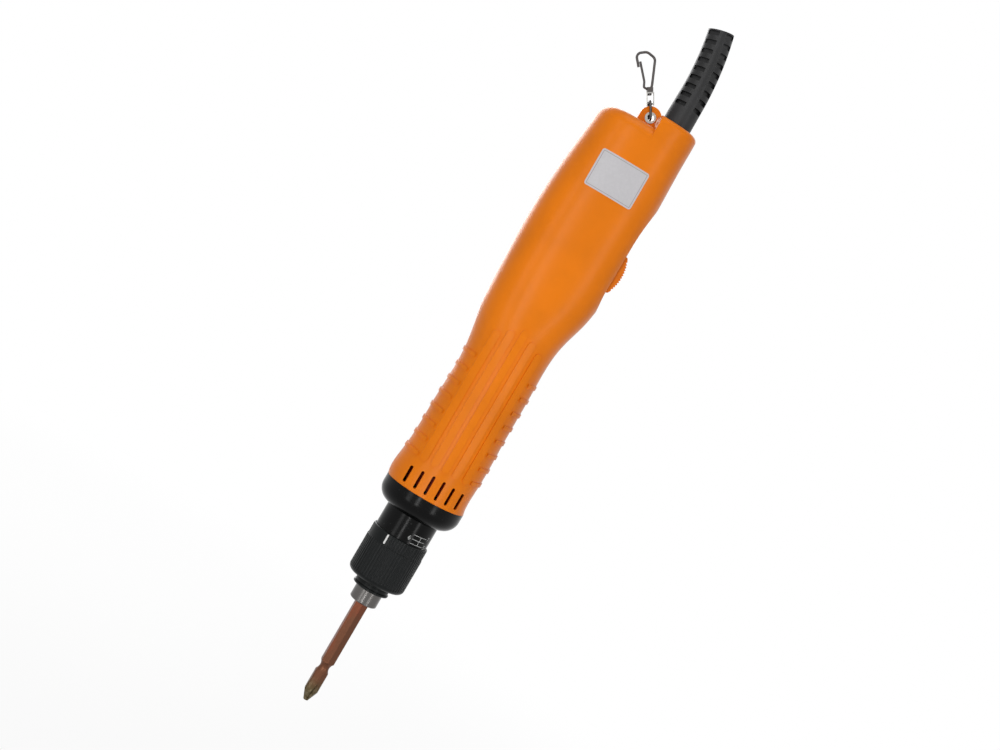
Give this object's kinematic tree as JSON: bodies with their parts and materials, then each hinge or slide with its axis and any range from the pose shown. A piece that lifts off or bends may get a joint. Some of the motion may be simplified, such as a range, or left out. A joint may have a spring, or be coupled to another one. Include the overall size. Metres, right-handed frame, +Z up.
{
  "type": "electric torque screwdriver",
  "caption": "Inline electric screwdriver with a torque setting nut, planetary drive, push start, direction slide, strain relief and hanging spring hook.",
  "frame": {"origin": "on the axis of the bit, at the mouth of the chuck sleeve", "axes": "+Z runs up the tool to its tail, +X points to the side with the direction knob, and the front faces -Y"},
  "size_m": [0.0531, 0.0412, 0.3737],
  "materials": {
    "housing_plastic": "satin moulded plastic, orange",
    "knob_plastic": "satin moulded plastic, orange",
    "cap_plastic": "polished black plastic",
    "case_plastic": "polished black plastic with a white scale",
    "nut_plastic": "black plastic, fluted",
    "relief_rubber": "black rubber",
    "collar_metal": "turned and plated",
    "bit_steel": "hardened steel, brown",
    "chain_metal": "bright plated wire and sheet",
    "steel": "machined steel",
    "gear_steel": "sintered steel",
    "spring_steel": "drawn wire",
    "bush_bronze": "sintered bronze",
    "can_steel": "zinc plated can",
    "core_steel": "stacked sheets",
    "magnet_black": "ferrite",
    "copper": "copper",
    "inner_plastic": "black moulded plastic",
    "brush_carbon": "carbon",
    "screw_steel": "black screws",
    "board_resin": "green resin board",
    "capacitor_sleeve": "dark blue sleeve",
    "coil_core": "taped ferrite core",
    "sink_aluminium": "extruded"
  },
  "bodies": {
    "body": {"housing_front": "housing_plastic", "housing_rear": "housing_plastic", "housing_screws": "screw_steel", "inner_screws": "screw_steel", "nose_cap": "cap_plastic", "gear_case": "case_plastic", "spindle_bush": "bush_bronze", "lock_ring": "nut_plastic", "thrust_plate": "steel", "clutch_pins": "steel", "clutch_spring": "spring_steel", "ring_gear": "gear_steel", "output_bearing": "steel", "gear_case_cover": "inner_plastic", "motor_can": "can_steel", "magnets": "magnet_black", "end_bell": "inner_plastic", "brushes": "brush_carbon", "front_bearing": "steel", "rear_bearing": "steel", "plunger_spring": "spring_steel", "start_switch": "inner_plastic", "direction_switch": "inner_plastic", "control_board": "board_resin", "capacitors": "capacitor_sleeve", "transformer": "coil_core", "heat_sink": "sink_aluminium", "strain_relief": "relief_rubber", "eyelet": "chain_metal"},
    "rotor": {"motor_shaft": "steel", "rotor_core": "core_steel", "windings": "copper", "commutator": "copper"},
    "first_carrier": {"first_carrier": "gear_steel", "first_pins": "steel"},
    "first_planet_1": {"first_planet_1": "gear_steel"},
    "first_planet_2": {"first_planet_2": "gear_steel"},
    "first_planet_3": {"first_planet_3": "gear_steel"},
    "output_carrier": {"output_carrier": "gear_steel", "output_pins": "steel"},
    "output_planet_1": {"output_planet_1": "gear_steel"},
    "output_planet_2": {"output_planet_2": "gear_steel"},
    "output_planet_3": {"output_planet_3": "gear_steel"},
    "push_rod": {"push_rod": "steel"},
    "spindle": {"spindle": "steel", "bit": "bit_steel", "detent_ball": "steel", "retaining_ring": "steel", "chuck_spring": "spring_steel"},
    "chuck_sleeve": {"chuck_sleeve": "collar_metal"},
    "start_plunger": {"start_plunger": "inner_plastic"},
    "torque_seat": {"spring_seat": "steel"},
    "torque_nut": {"torque_nut": "nut_plastic"},
    "direction_knob": {"direction_knob": "knob_plastic", "direction_stem": "inner_plastic"},
    "link": {"link": "chain_metal", "swivel": "chain_metal"},
    "hook": {"spring_hook": "chain_metal"},
    "gate": {"hook_gate": "chain_metal"}
  },
  "joints": [
    {"name": "rotor_spin", "type": "hinge", "parent": "body", "child": "rotor", "pos_m": [0, 0, 0.09], "axis": [0, 0, 1], "continuous": true},
    {"name": "first_carrier_spin", "type": "hinge", "parent": "body", "child": "first_carrier", "pos_m": [0, 0, 0.0517], "axis": [0, 0, 1], "continuous": true},
    {"name": "output_carrier_spin", "type": "hinge", "parent": "body", "child": "output_carrier", "pos_m": [0, 0, 0.0432], "axis": [0, 0, 1], "continuous": true},
    {"name": "first_planet_1_spin", "type": "hinge", "parent": "first_carrier", "child": "first_planet_1", "pos_m": [0.00675, 0, 0.056], "axis": [0, 0, 1], "continuous": true},
    {"name": "first_planet_2_spin", "type": "hinge", "parent": "first_carrier", "child": "first_planet_2", "pos_m": [-0.00337, 0.00585, 0.056], "axis": [0, 0, 1], "continuous": true},
    {"name": "first_planet_3_spin", "type": "hinge", "parent": "first_carrier", "child": "first_planet_3", "pos_m": [-0.00337, -0.00585, 0.056], "axis": [0, 0, 1], "continuous": true},
    {"name": "output_planet_1_spin", "type": "hinge", "parent": "output_carrier", "child": "output_planet_1", "pos_m": [0.00675, 0, 0.0475], "axis": [0, 0, 1], "continuous": true},
    {"name": "output_planet_2_spin", "type": "hinge", "parent": "output_carrier", "child": "output_planet_2", "pos_m": [-0.00337, 0.00585, 0.0475], "axis": [0, 0, 1], "continuous": true},
    {"name": "output_planet_3_spin", "type": "hinge", "parent": "output_carrier", "child": "output_planet_3", "pos_m": [-0.00337, -0.00585, 0.0475], "axis": [0, 0, 1], "continuous": true},
    {"name": "push_slide", "type": "slide", "parent": "body", "child": "push_rod", "axis": [0, 0, 1], "range_m": [0, 0.002], "stiffness_N_per_m": 300, "springref_m": -0.01},
    {"name": "spindle_spin", "type": "hinge", "parent": "push_rod", "child": "spindle", "pos_m": [0, 0, 0.0256], "axis": [0, 0, 1], "continuous": true},
    {"name": "sleeve_slide", "type": "slide", "parent": "spindle", "child": "chuck_sleeve", "axis": [0, 0, 1], "range_m": [0, 0.003], "stiffness_N_per_m": 200, "springref_m": -0.005, "deforming": ["chuck_spring"]},
    {"name": "plunger_slide", "type": "slide", "parent": "body", "child": "start_plunger", "axis": [0, 0, 1], "range_m": [0, 0.002], "deforming": ["plunger_spring"]},
    {"name": "torque_seat_slide", "type": "slide", "parent": "body", "child": "torque_seat", "axis": [0, 0, 1], "range_m": [0, 0.0045], "deforming": ["clutch_spring"]},
    {"name": "torque_nut_turn", "type": "hinge", "parent": "torque_seat", "child": "torque_nut", "pos_m": [0, 0, 0.024], "axis": [0, 0, 1], "range_deg": [0, 1080]},
    {"name": "direction_slide", "type": "slide", "parent": "body", "child": "direction_knob", "axis": [0, 0, 1], "range_m": [-0.003, 0.003]},
    {"name": "link_swing", "type": "hinge", "parent": "body", "child": "link", "pos_m": [0.00165, 0, 0.2663], "axis": [0, 1, 0], "range_deg": [-50, 25]},
    {"name": "hook_swivel", "type": "hinge", "parent": "link", "child": "hook", "pos_m": [0.00165, 0, 0.2663], "axis": [-0.515, 0, 0.8572], "continuous": true},
    {"name": "gate_open", "type": "hinge", "parent": "hook", "child": "gate", "pos_m": [-0.0058, 0, 0.27725], "axis": [0, 1, 0], "range_deg": [0, 18], "stiffness_Nm_per_rad": 0.001, "springref_deg": -17.19}
  ],
  "couplings": [
    {"joint": "first_carrier_spin", "follows": "rotor_spin", "ratio": 0.2},
    {"joint": "output_carrier_spin", "follows": "rotor_spin", "ratio": 0.04},
    {"joint": "first_planet_1_spin", "follows": "rotor_spin", "ratio": -0.53333},
    {"joint": "first_planet_2_spin", "follows": "rotor_spin", "ratio": -0.53333},
    {"joint": "first_planet_3_spin", "follows": "rotor_spin", "ratio": -0.53333},
    {"joint": "output_planet_1_spin", "follows": "rotor_spin", "ratio": -0.10667},
    {"joint": "output_planet_2_spin", "follows": "rotor_spin", "ratio": -0.10667},
    {"joint": "output_planet_3_spin", "follows": "rotor_spin", "ratio": -0.10667},
    {"joint": "spindle_spin", "follows": "rotor_spin", "ratio": 0.04},
    {"joint": "plunger_slide", "follows": "push_slide", "ratio": 1},
    {"joint": "torque_seat_slide", "follows": "torque_nut_turn", "m_per_rad": 0.00023873}
  ]
}
